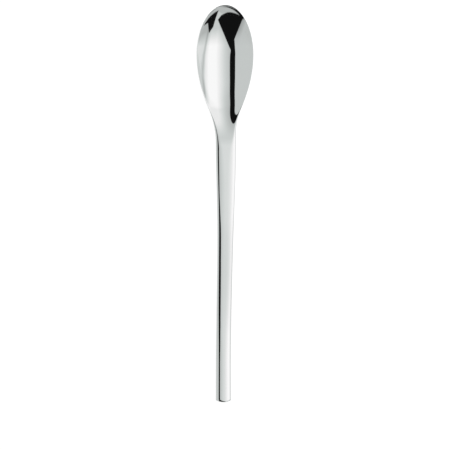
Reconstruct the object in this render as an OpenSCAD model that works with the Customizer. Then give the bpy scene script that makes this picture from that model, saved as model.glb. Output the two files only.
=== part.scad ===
// Slim dessert spoon of polished stainless steel, lying on a table with its hollow up.
// The bowl with its neck and the solid handle are two pieces, joined by a tang in a socket.
// The tip of the bowl points along +Y, +Z is up and the table is at z = 0. Lengths are in millimetres.

/* [Whole spoon] */
// Length from the tip of the bowl to the end of the handle
spoon_length = 180; // [160:1:210]

/* [Bowl outline] */
// Width of the bowl at its widest
bowl_width = 26; // [22:0.2:34]
// Length from the tip to the widest place
bowl_front = 22.5; // [19:0.5:28]
// Length from the widest place to the shoulder, where the sides turn from bulging to hollow
shoulder_back = 24.5; // [20:0.5:28]
// Width of the bowl at the shoulder
shoulder_width = 14.8; // [12:0.1:18]
// How far each side runs inwards at the shoulder for each millimetre along the spoon
shoulder_lean = 0.43; // [0.3:0.01:0.6]

/* [Bowl hollow] */
// Depth of the hollow below the rim at the widest place
bowl_depth = 5.4; // [4:0.1:8]
// Length from the widest place to the ramp, where the hollow runs out fastest
ramp_back = 20.5; // [16:0.5:24]
// Depth of the hollow at the ramp
ramp_depth = 2.8; // [1.5:0.05:4]
// How far the hollow rises at the ramp for each millimetre along the spoon
ramp_lean = 0.25; // [0.1:0.005:0.3]
// Length from the widest place to the end of the hollow
bowl_back = 38.5; // [34:0.5:44]
// Thickness of the bowl at its lowest place
bowl_wall = 1.4; // [1.2:0.1:2.5]
// Thickness of the rim
rim_thickness = 0.9; // [0.6:0.1:1.2]
// Width of the rounding of the rim
rim_edge = 0.5; // [0.3:0.05:1]
// Rise of the rim at the tip
tip_rise = 1.2; // [0:0.05:2]
// Dip of the rim behind the widest place
rim_dip = 0.75; // [0:0.05:1]
// Length from the widest place to the lowest place of the rim
rim_dip_back = 23.5; // [16:0.5:26]

/* [Neck] */
// Width of the neck
neck_width = 9.2; // [8:0.1:12]
// Length from the end of the hollow to the place where the neck has that width
neck_back = 0.5; // [0.5:0.5:3]
// Length from the end of the hollow to the crest, where the neck is highest
crest_back = 5; // [4:0.5:8]
// Rise of the neck's edges above the rim at the crest
crest_rise = 3.05; // [0:0.05:5]
// Thickness of the neck along its middle at the crest
crest_thickness = 2.5; // [2.2:0.1:3.5]
// Thickness of the neck's edges at the crest
crest_edge_thickness = 1.9; // [1.2:0.05:2]
// Width of the rounding of those edges
crest_edge = 2.2; // [1:0.1:2.5]
// Crown of the top face at the crest
crest_crown = 0.12; // [0.05:0.01:0.3]

/* [Handle] */
// Length from the end of the hollow to the place where the handle tapers fastest
taper_back = 39; // [30:1:50]
// Width of the handle there
taper_width = 7.5; // [7:0.1:10]
// How far each side runs inwards there for each millimetre along the spoon
taper_lean = 0.02; // [0:0.001:0.04]
// Height of the middle of the handle's edges there
taper_height = 8; // [4:0.1:11]
// How far the handle falls there for each millimetre along the spoon
taper_fall = 0.11; // [0.02:0.005:0.15]
// Thickness of the handle there
taper_thickness = 2; // [1.8:0.1:3]
// Thickness of the handle at its straight end
end_thickness = 2.8; // [2.2:0.1:4]
// Width of the rounding of the handle's edges
handle_edge = 2.6; // [2:0.1:3]
// Crown of the handle's top face between those edges
handle_crown = 0.06; // [0.03:0.01:0.15]
// Width of the handle at its narrowest
waist_width = 6.9; // [6.6:0.1:9]
// Length from the narrowest place to the end of the handle
waist_from_end = 35; // [20:1:50]
// Width of the handle at its end
end_width = 7.05; // [6.6:0.05:12]
// Depth of the bow of the end, seen from above
end_bow = 1.3; // [0.5:0.1:3]
// Width of the rounding around the end
end_edge = 0.5; // [0.3:0.05:1]
// Length of the straight end that rests on the table
rest_length = 15; // [8:0.5:24]
// Depth of the flat ground into the underside of that end
rest_flat = 0.1; // [0.05:0.01:0.2]
// Fullness of the rounded edges, where 2 is an ellipse and more is squarer
edge_fullness = 2.25; // [2:0.05:3]

/* [Joint in the neck] */
// Length from the end of the hollow to the joint of bowl and handle
joint_back = 9; // [8:0.5:20]
// Length of the tang
tang_length = 10; // [6:0.5:16]
// Width of the tang
tang_width = 4; // [3:0.1:4.5]
// Thickness of the tang
tang_thickness = 1; // [0.6:0.1:1.2]
// Gap for the braze around the tang
braze_gap = 0.05; // [0.02:0.01:0.1]

/* [Hidden] */

// Steps of the skins: across the top, around a round edge, and along each stretch
bowl_face_steps = 16;
handle_face_steps = 6;
bowl_edge_steps = 8;
handle_edge_steps = 12;
front_rows = 14;
back_rows = 28;
handle_rows = 38;
end_rows = 6;
// Station of the first section and depth of the last one, close enough to the ends to close them
end_cap = 0.02;
// Largest share of the half width that the rounding of an edge takes
most_edge = 0.97;
// Powers of the hollow's section: in the bowl, where it is a parabola, and where it fades into the neck
bowl_power = 1;
neck_power = 1.27;

// Stations: distances from the tip, measured along the spoon
ramp_at = bowl_front + ramp_back;
rim_dip_at = bowl_front + rim_dip_back;
shoulder_at = bowl_front + shoulder_back;
hollow_end = bowl_front + bowl_back;
neck_at = hollow_end + neck_back;
crest_at = hollow_end + crest_back;
joint_at = hollow_end + joint_back;
taper_at = hollow_end + taper_back;
waist_at = spoon_length - waist_from_end;
rest_from = spoon_length - rest_length;

// Height of the middle of the round edge: on the bowl, and on the straight end of the handle
rim_middle = bowl_depth + bowl_wall - rim_thickness / 2;
rest_middle = end_thickness / 2 - rest_flat;
// How fast the rounding of the edges grows at the crest
edge_growth = (handle_edge - rim_edge) / (taper_at - shoulder_at) * 2;

// Smooth curves along the spoon, as knots of [station, value, slope]
side_knots = [
    [bowl_front, bowl_width / 2, 0],
    [shoulder_at, shoulder_width / 2, -shoulder_lean],
    [neck_at, neck_width / 2, 0],
    [taper_at, taper_width / 2, -taper_lean],
    [waist_at, waist_width / 2, 0],
    [spoon_length, end_width / 2, 0],
];
edge_height_knots = [
    [0, rim_middle + tip_rise, -2 * tip_rise / bowl_front],
    [bowl_front, rim_middle, 0],
    [rim_dip_at, rim_middle - rim_dip, 0],
    [crest_at, rim_middle + crest_rise, 0],
    [taper_at, taper_height, -taper_fall],
    [rest_from, rest_middle, 0],
    [spoon_length, rest_middle, 0],
];
edge_thickness_knots = [
    [0, rim_thickness, 0],
    [shoulder_at, rim_thickness, 0],
    [crest_at, crest_edge_thickness, 0],
    [taper_at, taper_thickness, 0],
    [rest_from, end_thickness, 0],
    [spoon_length, end_thickness, 0],
];
edge_width_knots = [
    [0, rim_edge, 0],
    [shoulder_at, rim_edge, 0],
    [crest_at, crest_edge, edge_growth],
    [taper_at, handle_edge, 0],
    [spoon_length, handle_edge, 0],
];
// Depth of the top face below its edges, negative where the face is crowned
hollow_knots = [
    [bowl_front, bowl_depth, 0],
    [ramp_at, ramp_depth, -ramp_lean],
    [hollow_end, 0, -crest_crown / crest_back],
    [crest_at, -crest_crown, 0],
    [taper_at, -handle_crown, 0],
    [spoon_length, -handle_crown, 0],
];
power_knots = [
    [0, bowl_power, 0],
    [ramp_at, bowl_power, 0],
    [(shoulder_at + hollow_end) / 2, neck_power, 0],
    [spoon_length, neck_power, 0],
];
// How much thicker the middle of a section is than its edges
middle_knots = [
    [0, 0, 0],
    [bowl_front, bowl_wall - rim_thickness, 0],
    [crest_at, crest_thickness - crest_edge_thickness, 0],
    [taper_at, 0, 0],
    [spoon_length, 0, 0],
];

// Cubic from one knot to the next
function between(s, from, to) =
    let (
        span = to[0] - from[0],
        t = (s - from[0]) / span,
        rise = t * t * (3 - 2 * t)
    )
    from[1] * (1 - rise) + to[1] * rise
        + span * t * (1 - t) * (from[2] * (1 - t) - to[2] * t);

// Value of a curve at station s
function curve(s, knots, i = 0) =
    i < len(knots) - 2 && s > knots[i + 1][0]
        ? curve(s, knots, i + 1)
        : between(s, knots[i], knots[i + 1]);

// Quarter round from 0 at an end to 1 at a given length from it
function fade(depth, length) = depth < length ? sqrt(1 - pow(1 - depth / length, 2)) : 1;
function tip_fade(s) = fade(s, rim_edge);
function end_fade(s) = fade(spoon_length - s, end_edge);

// The front of the bowl and the end of the handle are half ellipses
function half_width(s) =
    s < bowl_front
        ? bowl_width / 2 * fade(s, bowl_front)
        : curve(s, side_knots) * fade(spoon_length - s, end_bow);

// Half thickness of the edges, and width of their rounding
function edge_half(s) = curve(s, edge_thickness_knots) / 2 * tip_fade(s) * end_fade(s);
function edge_width(s) =
    min(curve(s, edge_width_knots) * tip_fade(s) * end_fade(s), most_edge * half_width(s));

// The front of the hollow is a parabola along the spoon, from the inside of the rim to the widest place
function hollow(s) =
    s < bowl_front
        ? bowl_depth * pow(fade(max(s - rim_edge, 0), bowl_front - rim_edge), 2)
        : curve(s, hollow_knots);

// Superellipse: share of its half axis for the sine or cosine of an angle
function full(share) = sign(share) * pow(abs(share), 2 / edge_fullness);

// Outline of the spoon at station s: top face, right edge, underside, left edge
function section(s, face_steps, edge_steps) =
    let (
        y = spoon_length / 2 - s,
        half = edge_half(s),
        edge = edge_width(s),
        half_face = half_width(s) - edge,
        middle = curve(s, edge_height_knots),
        depth = hollow(s),
        belly = depth + curve(s, middle_knots),
        power = curve(s, power_knots),
        places = [for (i = [0 : face_steps]) 2 * i / face_steps - 1],
        turns = [for (i = [1 : edge_steps - 1]) 180 * i / edge_steps]
    )
    concat(
        [for (u = places) [half_face * u, y, middle + half - depth * pow(1 - u * u, power)]],
        [for (a = turns) [half_face + edge * full(sin(a)), y, middle + half * full(cos(a))]],
        [for (u = places) [-half_face * u, y, middle - half - belly * pow(1 - u * u, power)]],
        [for (a = turns) [-half_face - edge * full(sin(a)), y, middle - half * full(cos(a))]]
    );

// Closed skin over the sections at these stations
module skin(stations, face_steps, edge_steps) {
    rings = [for (s = stations) section(s, face_steps, edge_steps)];
    count = len(rings[0]);
    last = len(rings) - 1;
    sides = [
        for (i = [0 : last - 1], j = [0 : count - 1])
            let (a = i * count + j, b = i * count + (j + 1) % count)
            each [[a, b, b + count], [a, b + count, a + count]]
    ];
    caps = [
        [for (j = [count - 1 : -1 : 0]) j],
        [for (j = [0 : count - 1]) last * count + j],
    ];
    polyhedron([for (ring = rings) each ring], concat(sides, caps));
}

// The tang, grown by a gap on every side but its root
module tang(gap) {
    place = joint_at + tang_length / 2;
    middle = curve(place, edge_height_knots) - hollow(place) - curve(place, middle_knots) / 2;
    translate([
        -tang_width / 2 - gap,
        spoon_length / 2 - joint_at - tang_length - gap,
        middle - tang_thickness / 2 - gap,
    ])
        cube([tang_width + 2 * gap, tang_length + gap, tang_thickness + 2 * gap]);
}

// Pressed bowl and neck, with the tang behind the neck
module bowl() {
    front = [for (i = [1 : front_rows]) bowl_front * (1 - cos(90 * i / front_rows))];
    back = [for (i = [1 : back_rows]) bowl_front + (joint_at - bowl_front) * i / back_rows];
    color("silver") {
        skin(concat([end_cap], front, back), bowl_face_steps, bowl_edge_steps);
        tang(0);
    }
}

// Space under the table's plane, which grinds the flat under the end of the handle
module under_table() {
    translate([-end_width, -spoon_length, -end_width])
        cube([2 * end_width, spoon_length, end_width]);
}

// Solid bar with the socket for the tang, and a flat to rest on under its end
module handle() {
    bar_end = spoon_length - end_bow;
    bar = [for (i = [0 : handle_rows]) joint_at + (bar_end - joint_at) * i / handle_rows];
    end = [for (i = [1 : end_rows]) bar_end + (end_bow - end_cap) * sin(90 * i / end_rows)];
    color("gainsboro")
        difference() {
            skin(concat(bar, end), handle_face_steps, handle_edge_steps);
            tang(braze_gap);
            under_table();
        }
}

bowl();
handle();
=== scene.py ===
import math

import bmesh
import bpy
from mathutils import Matrix, Vector


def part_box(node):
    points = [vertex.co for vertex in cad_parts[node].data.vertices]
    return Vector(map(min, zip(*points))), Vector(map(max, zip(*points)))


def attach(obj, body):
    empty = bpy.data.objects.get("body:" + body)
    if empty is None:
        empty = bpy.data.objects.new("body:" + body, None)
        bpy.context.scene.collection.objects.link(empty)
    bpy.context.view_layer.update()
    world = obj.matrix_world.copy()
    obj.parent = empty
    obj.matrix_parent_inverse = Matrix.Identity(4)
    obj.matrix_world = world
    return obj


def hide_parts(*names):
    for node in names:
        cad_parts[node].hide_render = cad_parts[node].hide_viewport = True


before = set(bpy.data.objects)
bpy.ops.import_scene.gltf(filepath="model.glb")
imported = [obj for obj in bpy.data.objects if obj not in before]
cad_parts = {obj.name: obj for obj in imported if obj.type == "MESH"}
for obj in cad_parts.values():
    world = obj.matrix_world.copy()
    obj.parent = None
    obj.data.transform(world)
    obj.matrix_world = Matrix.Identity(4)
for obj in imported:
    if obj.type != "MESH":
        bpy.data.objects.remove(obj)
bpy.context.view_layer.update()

# Bowl with its neck
# The egg-shaped bowl and the neck behind it are pressed from one sheet of stainless steel and polished
# to a mirror. A flat tang behind the neck sits in a socket of the handle, where it is brazed.
# Lengths of the bowl and the handle are in millimetres. A station is a distance from the tip.
mm = 0.001
bowl_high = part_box("bowl")[1] / mm
handle_low, handle_high = (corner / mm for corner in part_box("handle"))
tip_y = bowl_high.y
joint_y = handle_high.y
spoon_length = tip_y - handle_low.y

# Stations that several curves share, from the tip to the end of the handle
bowl_front = 22.5
ramp_at = 43.0
shoulder_at = 47.0
hollow_end = 61.0
crest_at = 66.0
taper_at = 100.0
rest_length = 15.0
rest_from = spoon_length - rest_length

# Each curve along the spoon has knots of station, value and slope. First, half the width
bowl_half = bowl_high.x
shoulder_half = 7.4
shoulder_lean = 0.43
neck_at = 61.5
neck_half = 4.6
taper_half = 3.75
taper_lean = 0.02
waist_from_end = 35.0
waist_half = 3.45
end_half = 3.525
side_knots = [
    (bowl_front, bowl_half, 0.0),
    (shoulder_at, shoulder_half, -shoulder_lean),
    (neck_at, neck_half, 0.0),
    (taper_at, taper_half, -taper_lean),
    (spoon_length - waist_from_end, waist_half, 0.0),
    (spoon_length, end_half, 0.0),
]

# Height of the middle of the edges: up at the tip, down behind the bowl, up at the crest, down to the end
bowl_depth = 5.57
bowl_wall = 1.23
rim_thickness = 0.9
rim_middle = bowl_depth + bowl_wall - rim_thickness / 2
tip_rise = 1.2
rim_dip = 0.75
rim_dip_at = 46.0
crest_rise = 3.05
taper_height = 8.0
taper_fall = 0.11
end_thickness = 2.8
ground_depth = 0.1
rest_middle = end_thickness / 2 - ground_depth
edge_height_knots = [
    (0.0, rim_middle + tip_rise, -2 * tip_rise / bowl_front),
    (bowl_front, rim_middle, 0.0),
    (rim_dip_at, rim_middle - rim_dip, 0.0),
    (crest_at, rim_middle + crest_rise, 0.0),
    (taper_at, taper_height, -taper_fall),
    (rest_from, rest_middle, 0.0),
    (spoon_length, rest_middle, 0.0),
]

# Thickness at the edges
crest_thickness = 1.9
crest_growth = 0.008
taper_thickness = 2.0
bar_at = 130.0
bar_thickness = 2.2
bar_growth = 0.014
edge_thickness_knots = [
    (0.0, rim_thickness, 0.0),
    (shoulder_at, rim_thickness, 0.0),
    (crest_at, crest_thickness, crest_growth),
    (taper_at, taper_thickness, 0.0),
    (bar_at, bar_thickness, bar_growth),
    (rest_from, end_thickness, 0.0),
    (spoon_length, end_thickness, 0.0),
]

# Width of the rounding of the edges, which takes up nearly the whole section on the handle
rim_edge = 0.2
neck_edge_at = 58.0
neck_edge = 1.2
neck_edge_growth = 0.14
crest_edge = 3.2
crest_edge_growth = 0.1
handle_edge = 3.8
most_edge = 0.97
edge_width_knots = [
    (0.0, rim_edge, 0.0),
    (shoulder_at, rim_edge, 0.0),
    (neck_edge_at, neck_edge, neck_edge_growth),
    (crest_at, crest_edge, crest_edge_growth),
    (taper_at, handle_edge, 0.0),
    (spoon_length, handle_edge, 0.0),
]

# Fullness of that rounding, where 2 is an ellipse and more is squarer
rim_fullness = 2.25
crest_fullness = 2.15
taper_fullness = 2.6
taper_fullness_growth = 0.01
squarest_at = 118.0
most_fullness = 2.85
end_fullness = 2.05
edge_fullness_knots = [
    (0.0, rim_fullness, 0.0),
    (crest_at, crest_fullness, 0.0),
    (taper_at, taper_fullness, taper_fullness_growth),
    (squarest_at, most_fullness, 0.0),
    (rest_from, end_fullness, 0.0),
    (spoon_length, end_fullness, 0.0),
]

# Depth of the hollow, and the power of its section, which is a parabola in the bowl
ramp_depth = 2.8
ramp_lean = 0.25
hollow_knots = [
    (bowl_front, bowl_depth, 0.0),
    (ramp_at, ramp_depth, -ramp_lean),
    (hollow_end, 0.0, 0.0),
    (spoon_length, 0.0, 0.0),
]
parabola_power = 1.0
neck_power = 1.27
hollow_power_knots = [
    (bowl_front, parabola_power, 0.0),
    (ramp_at, parabola_power, 0.0),
    ((shoulder_at + hollow_end) / 2, neck_power, 0.0),
    (spoon_length, neck_power, 0.0),
]

# How much thicker the middle of a section is than its edges
crest_belly = 0.8
belly_knots = [
    (bowl_front, bowl_wall - rim_thickness, 0.0),
    (crest_at, crest_belly, 0.0),
    (taper_at, 0.0, 0.0),
    (spoon_length, 0.0, 0.0),
]


def curve(station, knots):
    """Smooth value at a station, on a cubic from each knot to the next."""
    for first, last in zip(knots, knots[1:]):
        if station <= last[0]:
            break
    span = last[0] - first[0]
    t = (station - first[0]) / span
    rise = t * t * (3 - 2 * t)
    bend = span * t * (1 - t) * (first[2] * (1 - t) - last[2] * t)
    return first[1] * (1 - rise) + last[1] * rise + bend


def heights(x, station):
    """Heights of the top face and of the underside at a place seen from above."""
    middle = curve(station, edge_height_knots)
    if station < bowl_front:
        across = x / (bowl_half - rim_edge)
        along = (bowl_front - station) / (bowl_front - rim_edge)
        bulge = max(1 - across * across - along * along, 0)
        return (
            middle + rim_thickness / 2 - bowl_depth * bulge,
            middle - rim_thickness / 2 - (bowl_depth + bowl_wall - rim_thickness) * bulge,
        )
    side = curve(station, side_knots)
    edge = min(curve(station, edge_width_knots), most_edge * side)
    face = side - edge
    out = min(max(abs(x) - face, 0) / edge, 1)
    fullness = curve(station, edge_fullness_knots)
    half = curve(station, edge_thickness_knots) / 2 * (1 - out**fullness) ** (1 / fullness)
    bulge = max(1 - (x / face) ** 2, 0) ** curve(station, hollow_power_knots)
    depth = curve(station, hollow_knots)
    return (
        middle + half - depth * bulge,
        middle - half - (depth + curve(station, belly_knots)) * bulge,
    )


# The flat sheet has rows from the tip to the end, and its end is slightly bowed
columns = 64
front_rows = 44
back_rows = 180
last_row = front_rows + back_rows
end_bow = 0.8
end_bow_from = 6.0
back_end = spoon_length - rim_edge
probe = 0.01


def plan_place(across, row):
    """Place, seen from above, of a point of the flat sheet inside its rounded edge."""
    if row < front_rows:
        along = row / front_rows - 1
        x = across * math.sqrt(1 - along * along / 2) * (bowl_half - rim_edge)
        station = bowl_front + along * math.sqrt(1 - across * across / 2) * (bowl_front - rim_edge)
        return x, station
    station = bowl_front + (row - front_rows) / back_rows * (back_end - bowl_front)
    bow = end_bow * across * across * max(1 - (back_end - station) / end_bow_from, 0)
    return across * (curve(station, side_knots) - rim_edge), station - bow


def outward(across, row, x, station):
    """Direction, seen from above, in which the edge of the sheet faces."""
    if row < front_rows:
        along = (bowl_front - station) / (bowl_front - rim_edge) ** 2
        return Vector((x / (bowl_half - rim_edge) ** 2, along, 0)).normalized()
    turn = Vector((0, 0, 0))
    if abs(across) > 1 - probe:
        ahead = curve(station + probe, side_knots)
        behind = curve(station - probe, side_knots)
        turn = Vector((math.copysign(1, across), (ahead - behind) / (2 * probe), 0)).normalized()
    if round(row) == last_row:
        turn += Vector((2 * end_bow * across / curve(station, side_knots), -1, 0)).normalized()
    return turn.normalized()


def edge_point(share, height, slope, middle):
    """Reach and height on the rounded edge, from the border of a face (0) to the outermost line (1)."""
    hold = 0.55
    reaches = (0, hold * rim_edge, rim_edge, rim_edge)
    levels = (height, height + hold * rim_edge * slope, middle + hold * (height - middle), middle)
    rest = 1 - share
    weights = (rest**3, 3 * rest * rest * share, 3 * rest * share * share, share**3)
    return (
        sum(weight * reach for weight, reach in zip(weights, reaches)),
        sum(weight * level for weight, level in zip(weights, levels)),
    )


blank = bmesh.new()
edges_of_sheet = {}
for face_index in range(2):
    sheet = bmesh.ops.create_grid(blank, x_segments=columns, y_segments=last_row, size=1.0)["verts"]
    for vert in sheet:
        across = vert.co.x
        row = (vert.co.y + 1) / 2 * last_row
        x, station = plan_place(across, row)
        both = heights(x, station)
        vert.co = (x, tip_y - station, both[face_index])
        if face_index == 0 and vert.is_boundary:
            out = outward(across, row, x, station)
            inside = heights(x - out.x * probe, station + out.y * probe)
            slopes = [(border - inner) / probe for border, inner in zip(both, inside)]
            edges_of_sheet[vert] = (vert.co.copy(), out, both, slopes)

# The rounded edge grows out of the top face, ring by ring, down to the underside
edge_steps = 16
weld = 1e-4
ring = [edge for edge in blank.edges if edge.is_boundary and edge.verts[0] in edges_of_sheet]
for step in range(1, edge_steps + 1):
    grown = bmesh.ops.extrude_edge_only(blank, edges=ring)["geom"]
    ring = [part for part in grown if isinstance(part, bmesh.types.BMEdge) and part.is_boundary]
    fresh = {}
    for vert in (part for part in grown if isinstance(part, bmesh.types.BMVert)):
        source = next(
            edge.other_vert(vert) for edge in vert.link_edges if edge.other_vert(vert) in edges_of_sheet
        )
        fresh[vert] = edges_of_sheet[source]
    turn = 2 * step / edge_steps
    under = 0 if turn <= 1 else 1
    for vert, (start, out, borders, slopes) in fresh.items():
        share = 2 - turn if under else turn
        reach, height = edge_point(share, borders[under], slopes[under], sum(borders) / 2)
        place = start + out * reach
        vert.co = (place.x, place.y, height)
    edges_of_sheet = fresh
bmesh.ops.remove_doubles(blank, verts=blank.verts, dist=weld)
bmesh.ops.recalc_face_normals(blank, faces=blank.faces)
for face in blank.faces:
    face.smooth = True

# The tang lies a little under the middle of the neck's edges
tang_length = 10.0
tang_width = 4.0
tang_thickness = 1.0
tang_drop = 0.3
tang_middle = curve(tip_y - joint_y + tang_length / 2, edge_height_knots) - tang_drop
plate_columns = 8
plate_rows = 2
crisp_angle = math.radians(60)
on_plane = 1e-5


def cut_at_joint(mesh, keep, gap):
    """Cuts the blank at the joint and draws the tang, or its socket, out of the cut."""
    cut = bmesh.ops.bisect_plane(
        mesh,
        geom=mesh.verts[:] + mesh.edges[:] + mesh.faces[:],
        dist=on_plane,
        plane_co=(0, joint_y, 0),
        plane_no=(0, -keep, 0),
        clear_outer=True,
    )["geom_cut"]
    loop = [part for part in cut if isinstance(part, bmesh.types.BMEdge)]
    place = (
        Matrix.Translation((0, joint_y, tang_middle))
        @ Matrix.Rotation(math.pi / 2, 4, "X")
        @ Matrix.Diagonal((tang_width + 2 * gap, tang_thickness + 2 * gap, 1, 1))
    )
    plate = bmesh.ops.create_grid(
        mesh, x_segments=plate_columns, y_segments=plate_rows, size=0.5, matrix=place
    )["verts"]
    plate_faces = list({face for vert in plate for face in vert.link_faces})
    plate_loop = list({edge for vert in plate for edge in vert.link_edges if edge.is_boundary})
    bmesh.ops.bridge_loops(mesh, edges=loop + plate_loop)
    drawn = bmesh.ops.extrude_face_region(mesh, geom=plate_faces)["geom"]
    ends = [part for part in drawn if isinstance(part, bmesh.types.BMVert)]
    bmesh.ops.translate(mesh, verts=ends, vec=(0, -tang_length - gap, 0))
    bmesh.ops.recalc_face_normals(mesh, faces=mesh.faces)
    for edge in mesh.edges:
        if len(edge.link_faces) == 2 and edge.calc_face_angle(0) > crisp_angle:
            edge.smooth = False


def as_piece(mesh, name):
    """Makes the mesh an object in metres, at the origin."""
    bmesh.ops.scale(mesh, verts=mesh.verts, vec=(mm, mm, mm))
    data = bpy.data.meshes.new(name)
    mesh.to_mesh(data)
    mesh.free()
    piece = bpy.data.objects.new(name, data)
    bpy.context.scene.collection.objects.link(piece)
    return piece


class Wire:
    """A socket of a node tree that works in sums, and makes further nodes of its tree."""

    def __init__(self, tree, socket=None):
        self.tree = tree
        self.socket = socket

    def make(self, kind, settings=None, sockets=None, output=0):
        """Adds a node, sets it up, joins its sockets to values or wires, and gives back one output."""
        node = self.tree.nodes.new(kind)
        for name, value in (settings or {}).items():
            if name == "stops":
                stops = node.color_ramp.elements
                while len(stops) < len(value):
                    stops.new(1.0)
                for stop, (place, level) in zip(stops, value):
                    stop.position = place
                    stop.color = (level, level, level, 1)
            else:
                setattr(node, name, value)
        for name, value in (sockets or {}).items():
            if isinstance(value, Wire):
                self.tree.links.new(value.socket, node.inputs[name])
            else:
                node.inputs[name].default_value = value
        return Wire(self.tree, node.outputs[output] if node.outputs else None)

    def mix(self, share, first, second):
        """Colour that goes from the first to the second. Its sockets are numbered, as their names repeat."""
        sockets = {"Factor": share, 6: (*first, 1), 7: (*second, 1)}
        return self.make("ShaderNodeMix", {"data_type": "RGBA"}, sockets, output=2)

    def maths(self, operation, first, second):
        return self.make("ShaderNodeMath", {"operation": operation}, {0: first, 1: second})

    def __add__(self, other):
        return self.maths("ADD", self, other)

    def __radd__(self, other):
        return self.maths("ADD", other, self)

    def __sub__(self, other):
        return self.maths("SUBTRACT", self, other)

    def __rsub__(self, other):
        return self.maths("SUBTRACT", other, self)

    def __mul__(self, other):
        return self.maths("MULTIPLY", self, other)

    def __rmul__(self, other):
        return self.maths("MULTIPLY", other, self)

    def __truediv__(self, other):
        return self.maths("DIVIDE", self, other)

    def at_least(self, limit):
        return self.maths("MAXIMUM", self, limit)

    def at_most(self, limit):
        return self.maths("MINIMUM", self, limit)

    def past(self, limit):
        """How far the value is past a limit, and 0 before it."""
        return (self - limit).at_least(0.0)

    def as_share(self):
        """The value of a sum, kept from 0 to 1."""
        self.socket.node.use_clamp = True
        return self

    def over(self, softness):
        """1 where the value is over zero and 0 where it is under it, with a soft step."""
        return (self / softness + 0.5).as_share()


def polished_steel():
    """Mirror-polished stainless steel with faint wipes, hairlines and the soft waves of hand polishing."""
    dull_grey = (0.79, 0.79, 0.79)
    bright_grey = (0.82, 0.82, 0.82)
    least_roughness = 0.025
    wiped_roughness = 0.03
    wave_height = 0.00004
    hair_height = 0.000001
    material = bpy.data.materials.new("polished_steel")
    material.use_nodes = True
    tree = material.node_tree
    tree.nodes.clear()
    metal = Wire(tree)
    place = metal.make("ShaderNodeTexCoord", output="Object")
    along = metal.make("ShaderNodeMapping", sockets={"Vector": place, "Scale": (1, 0.06, 1)})
    wipes = metal.make(
        "ShaderNodeTexNoise", sockets={"Vector": place, "Scale": 55.0, "Detail": 5.0, "Roughness": 0.6}
    )
    hairs = metal.make("ShaderNodeTexNoise", sockets={"Vector": along, "Scale": 9000.0, "Detail": 2.0})
    waves = metal.make("ShaderNodeTexNoise", sockets={"Vector": place, "Scale": 85.0, "Detail": 1.0})
    relief = metal.make(
        "ShaderNodeBump", sockets={"Strength": 1.0, "Distance": wave_height, "Height": waves}
    )
    relief = metal.make(
        "ShaderNodeBump",
        sockets={"Strength": 0.1, "Distance": hair_height, "Height": hairs, "Normal": relief},
    )
    shader = metal.make(
        "ShaderNodeBsdfPrincipled",
        sockets={
            "Base Color": metal.mix(wipes, dull_grey, bright_grey),
            "Metallic": 1.0,
            "Roughness": least_roughness + wiped_roughness * wipes,
            "Normal": relief,
        },
    )
    metal.make("ShaderNodeOutputMaterial", sockets={"Surface": shader})
    return material


steel = polished_steel()

bowl_mesh = blank.copy()
cut_at_joint(bowl_mesh, 1, 0.0)
bowl_shell = as_piece(bowl_mesh, "bowl_shell")
bowl_shell.data.materials.append(steel)
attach(bowl_shell, "root")
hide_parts("bowl")

# Handle
# A solid bar of the same steel, rolled to an oval and polished. A socket in its front end takes the
# tang of the bowl, and a flat ground under its far end lets the spoon rest without rocking.
braze_gap = 0.05

handle_mesh = blank
cut_at_joint(handle_mesh, -1, braze_gap)
ground = bmesh.ops.bisect_plane(
    handle_mesh,
    geom=handle_mesh.verts[:] + handle_mesh.edges[:] + handle_mesh.faces[:],
    dist=on_plane,
    plane_co=(0, 0, 0),
    plane_no=(0, 0, -1),
    clear_outer=True,
)["geom_cut"]
ground_loop = [part for part in ground if isinstance(part, bmesh.types.BMEdge)]
bmesh.ops.edgeloop_fill(handle_mesh, edges=ground_loop)
for edge in ground_loop:
    edge.smooth = False
handle_bar = as_piece(handle_mesh, "handle_bar")
handle_bar.data.materials.append(steel)
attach(handle_bar, "root")
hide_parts("handle")

# Floor
# A plain white table top under the spoon, painted matt, which keeps the spoon's soft shadow.
# It glows a little, so that it is white to the camera and pale in the mirror of the steel.
floor_half = 3.0
seen_glow = 0.88
mirrored_glow = 0.8
paint_grey = (0.3, 0.3, 0.3, 1)
floor_mesh = bmesh.new()
bmesh.ops.create_grid(floor_mesh, x_segments=1, y_segments=1, size=floor_half)
floor_data = bpy.data.meshes.new("floor")
floor_mesh.to_mesh(floor_data)
floor_mesh.free()
floor = bpy.data.objects.new("floor", floor_data)
bpy.context.scene.collection.objects.link(floor)
floor_paint = bpy.data.materials.new("white_table")
floor_paint.use_nodes = True
floor_paint.node_tree.nodes.clear()
paint = Wire(floor_paint.node_tree)
seen = paint.make("ShaderNodeLightPath", output="Is Camera Ray")
mirrored = paint.make("ShaderNodeLightPath", output="Is Glossy Ray")
through = paint.make("ShaderNodeLightPath", output="Is Transmission Ray")
strength = seen_glow * seen + mirrored_glow * (mirrored + through)
glow = paint.make("ShaderNodeEmission", sockets={"Color": (1, 1, 1, 1), "Strength": strength})
matt = paint.make("ShaderNodeBsdfDiffuse", sockets={"Color": paint_grey})
glowing_paint = paint.make("ShaderNodeAddShader", sockets={0: glow, 1: matt})
paint.make("ShaderNodeOutputMaterial", sockets={"Surface": glowing_paint})
floor_data.materials.append(floor_paint)

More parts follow.
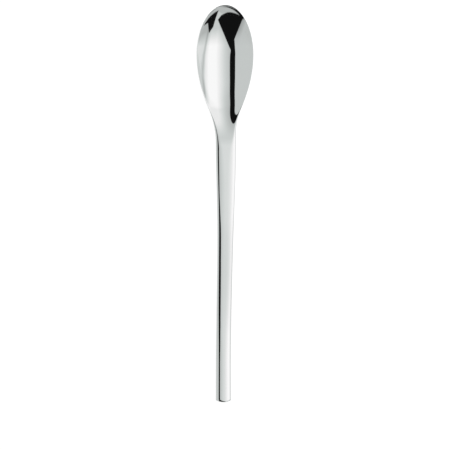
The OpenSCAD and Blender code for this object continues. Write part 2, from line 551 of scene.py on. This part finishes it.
# Light
# A white light tent: a large soft panel over the right side, a plain one on the left and one behind the
# end of the handle. The open slit between them is dark, and the camera looks in beside it.
# A ray's left and back say how far it leans that way for each step up.
studio = bpy.data.worlds.new("light_tent")
bpy.context.scene.world = studio
studio.use_nodes = True
studio.node_tree.nodes.clear()
tent = Wire(studio.node_tree)
least_step = 0.02
edge_blur = 0.03
slit_blur = 0.02
ray = tent.make("ShaderNodeTexCoord", output="Generated")
ray_x = tent.make("ShaderNodeSeparateXYZ", sockets={"Vector": ray}, output="X")
ray_y = tent.make("ShaderNodeSeparateXYZ", sockets={"Vector": ray}, output="Y")
ray_z = tent.make("ShaderNodeSeparateXYZ", sockets={"Vector": ray}, output="Z")
up = ray_z.at_least(least_step)
left = (0 - ray_x) / up
back = (0 - ray_y) / up

# Right panel, in bands of place and level from the horizon (0) over straight up (0.5) to the slit
right_bands = [
    (0.0, 0.9),
    (0.08, 0.88),
    (0.107, 0.6),
    (0.133, 0.97),
    (0.18, 1.16),
    (0.31, 1.16),
    (0.47, 0.82),
    (0.57, 0.64),
]
band_fan = 0.14
fan_front = -0.6
fan_back = 1.0
roll = tent.maths("ARCTAN2", 0 - ray_x, ray_z) / math.pi
across_tent = roll + band_fan * back.at_least(fan_front).at_most(fan_back) * roll + 0.5
right_panel = tent.make("ShaderNodeValToRGB", {"stops": right_bands}, {"Fac": across_tent})

# It dims towards the end of the handle, later near the horizon, and overhead a little towards the tip
end_dim = 0.38
end_dim_from = 0.2
end_dim_rate = 2.0
low_from = 0.8
low_delay = 0.2
low_right = (0 - left).past(low_from)
towards_end = (end_dim_rate * (back / (1 + low_delay * low_right) - end_dim_from)).as_share()
tip_dim = 0.13
tip_dim_from = 0.3
tip_dim_rate = 3.3
overhead_from = 0.3
overhead_rate = 6.0
far_tip_from = 0.6
far_tip_rate = 5.0
front = 0 - back
overhead = overhead_rate * (across_tent - overhead_from) + far_tip_rate * front.past(far_tip_from)
towards_tip = (tip_dim_rate * (front - tip_dim_from)).as_share() * overhead.as_share()
right_panel = right_panel * (1 - end_dim * towards_end - tip_dim * towards_tip)

# Left and right side of the slit, which spreads to a wedge towards the end of the handle
slit_left_at = 0.615
slit_narrowing = 0.2
left_spread = 1.15
left_spread_from = 0.36
slit_left = slit_left_at - slit_narrowing * back.at_least(0.0) + left_spread * back.past(left_spread_from)
slit_right_at = 0.25
slit_lean = 0.33
slit_lean_from = -0.1
slit_lean_length = 0.15
right_spread = 1.14
right_spread_from = 0.08
slit_step = slit_lean * back.past(slit_lean_from).at_most(slit_lean_length)
slit_right = slit_right_at + slit_step - right_spread * back.past(right_spread_from)

# Left panel, dimmer beside the slit towards the end of the handle, and the panel behind that end
left_level = 0.7
left_dim = 0.06
beside_dim = 0.22
beside_width = 0.45
beside_rate = 2.2
beside_slit = (beside_rate * (beside_width + slit_left - left)).as_share()
left_panel = left_level - (left_dim + beside_dim * beside_slit) * towards_end
end_panel = 0.58
seam = 0.45
end_seam = 1.25
end_seam_lean = 0.5
end_seam_bend_from = -0.5
end_seam_bend = -0.55
on_left = (left - seam).over(slit_blur)
end_bend = (left - end_seam_bend_from).at_most(0.0).at_least(end_seam_bend)
past_end = (back - end_seam + end_seam_lean * end_bend).over(edge_blur)
level = right_panel + on_left * (left_panel - right_panel)
level = level + past_end * (end_panel - level)

# The dark slit, cut off by two more sides where its wedge ends
wedge_corner_left = -0.75
wedge_corner_back = 1.02
wedge_corner_lean = 1.79
wedge_end = 1.24
wedge_end_lean = 0.045
wedge_end_fall = 0.12
wedge_corner_side = left - wedge_corner_left - wedge_corner_lean * (back - wedge_corner_back)
wedge_end_side = wedge_end + wedge_end_lean * left + wedge_end_fall * left.at_most(0.0) - back
slit = (left - slit_right).over(slit_blur) * (slit_left - left).over(slit_blur)
slit = slit * wedge_corner_side.over(edge_blur) * wedge_end_side.over(edge_blur)

# A small dark flap on the right of the wedge: four sides, the right one bent, and a blunt corner
flap_left = -0.87
flap_left_lean = 0.519
flap_left_back = 1.48
flap_front = 0.82
flap_front_lean = 0.2
flap_front_left = -1.27
flap_right = -1.92
flap_right_lean = 1.11
flap_right_back = 0.83
flap_tail_lean = 3.8
flap_tail_from = 1.36
flap_end = 1.5
flap_end_lean = 0.1
flap_end_left = -1.0
flap_corner = 1.78
flap_blur = 0.04
flap_right_blur = 0.05
flap_left_side = flap_left + flap_left_lean * (back - flap_left_back) - left
flap_front_side = back - flap_front - flap_front_lean * (left - flap_front_left)
flap_tail = flap_tail_lean * back.past(flap_tail_from)
flap_right_side = left - flap_right + flap_right_lean * (back - flap_right_back) + flap_tail
flap_end_side = flap_end - flap_end_lean * (left - flap_end_left) - back
flap = flap_left_side.over(edge_blur) * flap_front_side.over(edge_blur)
flap = flap * flap_right_side.over(flap_right_blur)
flap = flap * flap_end_side.over(flap_blur) * (flap_corner - back).over(flap_blur)

# A dark strip beyond the end panel, which draws the thin dark line around the tip
strip_from = 1.475
strip_lean = 0.19
strip_to = 2.2
strip_to_blur = 0.3
strip_right = -0.5
strip_right_blur = 0.6
strip_past_slit = 0.08
strip_left_blur = 0.05
strip = (back - strip_from + strip_lean * left).over(edge_blur) * (strip_to - back).over(strip_to_blur)
strip = strip * (left - strip_right).over(strip_right_blur)
strip = strip * (slit_left + strip_past_slit - left).over(strip_left_blur)

# The camera itself sees white, and the dimmer parts of the tent are a little green
dark = 0.007
dim_green = (0.955, 1, 0.985)
white = (1, 1, 1)
white_from = 0.8
white_rate = 4.0
level = level * (1 - slit) * (1 - flap) * (1 - strip) + dark
seen = tent.make("ShaderNodeLightPath", output="Is Camera Ray")
level = level + seen * (1 - level)
tint = tent.mix((white_rate * (level - white_from)).as_share(), dim_green, white)
air = tent.make("ShaderNodeBackground", sockets={"Color": tint, "Strength": level})
tent.make("ShaderNodeOutputWorld", sockets={"Surface": air})

# Camera
# It looks down on the spoon from a little left of straight above, through a long lens, with the tip of
# the bowl at the top of the picture.
camera_roll = math.radians(8)
camera_distance = 1.5
view_width = 0.2036
target = Vector((0.04 * mm, -9.54 * mm, 6 * mm))
sideways = Vector((math.cos(camera_roll), 0, math.sin(camera_roll)))
upwards = Vector((0, 1, 0))
backwards = sideways.cross(upwards)
lens = bpy.data.cameras.new("camera")
lens.type = "PERSP"
lens.sensor_width = 36.0
lens.lens = lens.sensor_width * camera_distance / view_width
camera = bpy.data.objects.new("camera", lens)
camera.matrix_world = (
    Matrix.Translation(target + backwards * camera_distance)
    @ Matrix((sideways, upwards, backwards)).transposed().to_4x4()
)
bpy.context.scene.collection.objects.link(camera)
bpy.context.scene.camera = camera
bpy.context.scene.view_settings.view_transform = "Standard"
